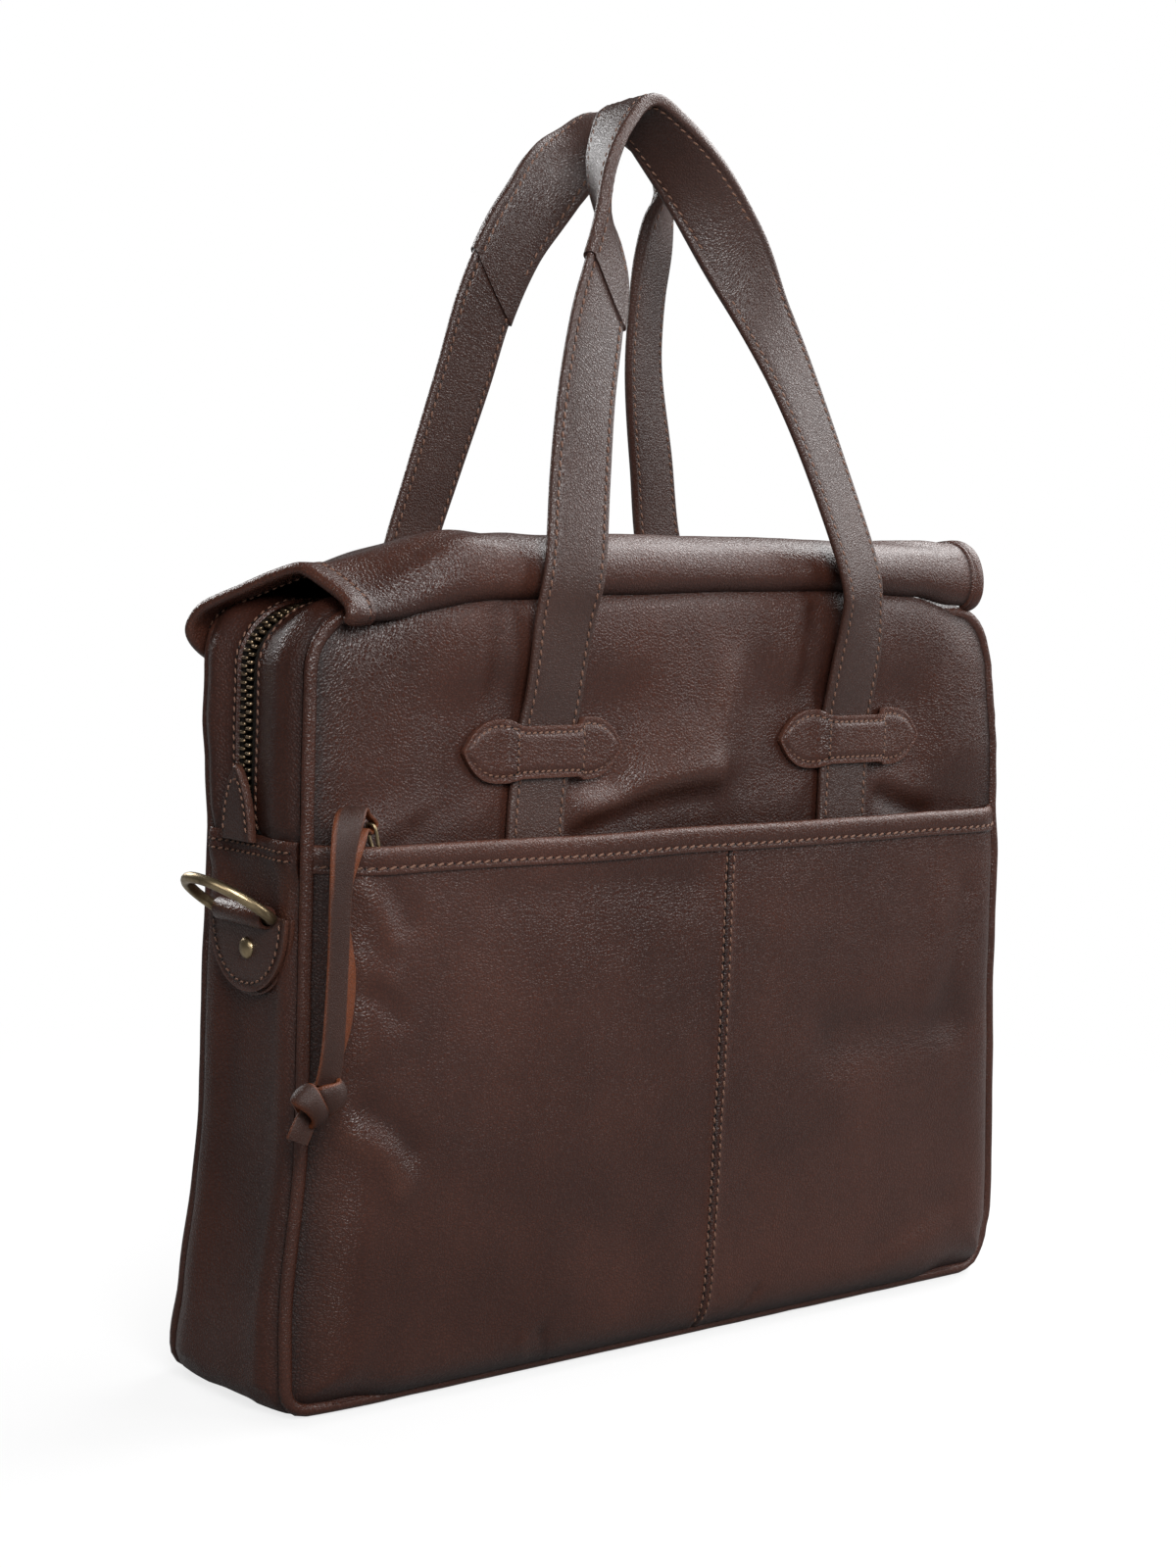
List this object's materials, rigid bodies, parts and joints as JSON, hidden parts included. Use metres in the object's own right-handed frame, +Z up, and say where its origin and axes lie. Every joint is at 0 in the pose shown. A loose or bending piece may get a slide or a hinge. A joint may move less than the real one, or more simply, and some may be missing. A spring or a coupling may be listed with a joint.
{
  "type": "leather briefcase",
  "caption": "Leather briefcase with a zipped top under a lift-up flap, a zipped front pocket with a thong pull, strap handles and side rings.",
  "frame": {"origin": "middle of the flat base that the bag stands on", "axes": "+Z up, +X along the bag's width to the right seen from its front, front facing -Y"},
  "size_m": [0.462, 0.1202, 0.5345],
  "materials": {
    "leather": "dark brown grained leather, soft sheen",
    "strap_leather": "dark brown strap leather, edge painted",
    "thong_leather": "brown lace leather with a red-brown suede back",
    "antique_brass": "antique brass, worn bright on its edges",
    "zip_tape": "dark woven zip tape",
    "lining": "dark lining cloth",
    "board": "fibre board"
  },
  "bodies": {
    "bag": {"front_panel": "leather", "rear_panel": "leather", "left_side_gusset": "leather", "right_side_gusset": "leather", "bottom_gusset": "leather", "front_zip_gusset": "leather", "rear_zip_gusset": "leather", "front_piping": "leather", "rear_piping": "leather", "front_pocket_left_panel": "leather", "front_pocket_right_panel": "leather", "front_pocket_binding": "leather", "rear_pocket_panel": "leather", "rear_pocket_binding": "leather", "left_zip_end_tab": "leather", "right_zip_end_tab": "leather", "left_ring_chape": "leather", "right_ring_chape": "leather", "flap_front_roll": "leather", "front_strap_end_left": "strap_leather", "front_strap_end_right": "strap_leather", "front_handle_tab_left": "strap_leather", "front_handle_tab_right": "strap_leather", "rear_strap_end_left": "strap_leather", "rear_strap_end_right": "strap_leather", "rear_handle_tab_left": "strap_leather", "rear_handle_tab_right": "strap_leather", "main_zip_front_teeth": "antique_brass", "main_zip_rear_teeth": "antique_brass", "pocket_zip_front_teeth": "antique_brass", "pocket_zip_rear_teeth": "antique_brass", "left_chape_rivet": "antique_brass", "right_chape_rivet": "antique_brass", "main_zip_front_tape": "zip_tape", "main_zip_rear_tape": "zip_tape", "pocket_zip_front_tape": "zip_tape", "pocket_zip_rear_tape": "zip_tape", "front_lining": "lining", "rear_lining": "lining", "base_board": "board"},
    "front_handle": {"front_handle_strap": "strap_leather", "front_handle_grip": "strap_leather"},
    "rear_handle": {"rear_handle_strap": "strap_leather", "rear_handle_grip": "strap_leather"},
    "flap": {"flap_cover": "leather", "flap_left_binding": "leather", "flap_right_binding": "leather"},
    "left_main_slider": {"left_main_slider": "antique_brass"},
    "right_main_slider": {"right_main_slider": "antique_brass"},
    "left_main_pull": {"left_main_pull": "antique_brass"},
    "right_main_pull": {"right_main_pull": "antique_brass"},
    "pocket_slider": {"pocket_slider": "antique_brass"},
    "pocket_pull": {"pocket_pull_loop": "antique_brass"},
    "pocket_thong": {"pull_thong": "thong_leather", "thong_knot": "thong_leather"},
    "left_ring": {"left_d_ring": "antique_brass"},
    "right_ring": {"right_d_ring": "antique_brass"}
  },
  "joints": [
    {"name": "front_handle_swing", "type": "hinge", "parent": "bag", "child": "front_handle", "pos_m": [0, -0.053, 0.296], "axis": [1, 0, 0], "range_deg": [0, 130]},
    {"name": "rear_handle_swing", "type": "hinge", "parent": "bag", "child": "rear_handle", "pos_m": [0, 0.053, 0.296], "axis": [-1, 0, 0], "range_deg": [0, 130]},
    {"name": "flap_lift", "type": "hinge", "parent": "bag", "child": "flap", "pos_m": [0, -0.0465, 0.3325], "axis": [1, 0, 0], "range_deg": [0, 45]},
    {"name": "left_main_zip", "type": "slide", "parent": "bag", "child": "left_main_slider", "axis": [-1, 0, 0], "range_m": [0, 0.115]},
    {"name": "right_main_zip", "type": "slide", "parent": "bag", "child": "right_main_slider", "axis": [1, 0, 0], "range_m": [0, 0.115]},
    {"name": "left_main_pull_flip", "type": "hinge", "parent": "left_main_slider", "child": "left_main_pull", "pos_m": [-0.0085, 0, 0.3233], "axis": [0, 1, 0], "range_deg": [0, 30]},
    {"name": "right_main_pull_flip", "type": "hinge", "parent": "right_main_slider", "child": "right_main_pull", "pos_m": [0.0085, 0, 0.3233], "axis": [0, -1, 0], "range_deg": [0, 30]},
    {"name": "pocket_zip", "type": "slide", "parent": "bag", "child": "pocket_slider", "axis": [1, 0, 0], "range_m": [0, 0.33]},
    {"name": "pocket_pull_tilt", "type": "hinge", "parent": "pocket_slider", "child": "pocket_pull", "pos_m": [-0.172, -0.0468, 0.2198], "axis": [0, 1, 0], "range_deg": [0, 60]},
    {"name": "pocket_thong_swing", "type": "hinge", "parent": "pocket_pull", "child": "pocket_thong", "pos_m": [-0.17712, -0.0468, 0.23654], "axis": [-1, 0, 0], "range_deg": [0, 75]},
    {"name": "left_ring_swing", "type": "hinge", "parent": "bag", "child": "left_ring", "pos_m": [-0.2049, 0, 0.198], "axis": [0, -1, 0], "range_deg": [-50, 65]},
    {"name": "right_ring_swing", "type": "hinge", "parent": "bag", "child": "right_ring", "pos_m": [0.2049, 0, 0.198], "axis": [0, 1, 0], "range_deg": [-50, 65]}
  ]
}
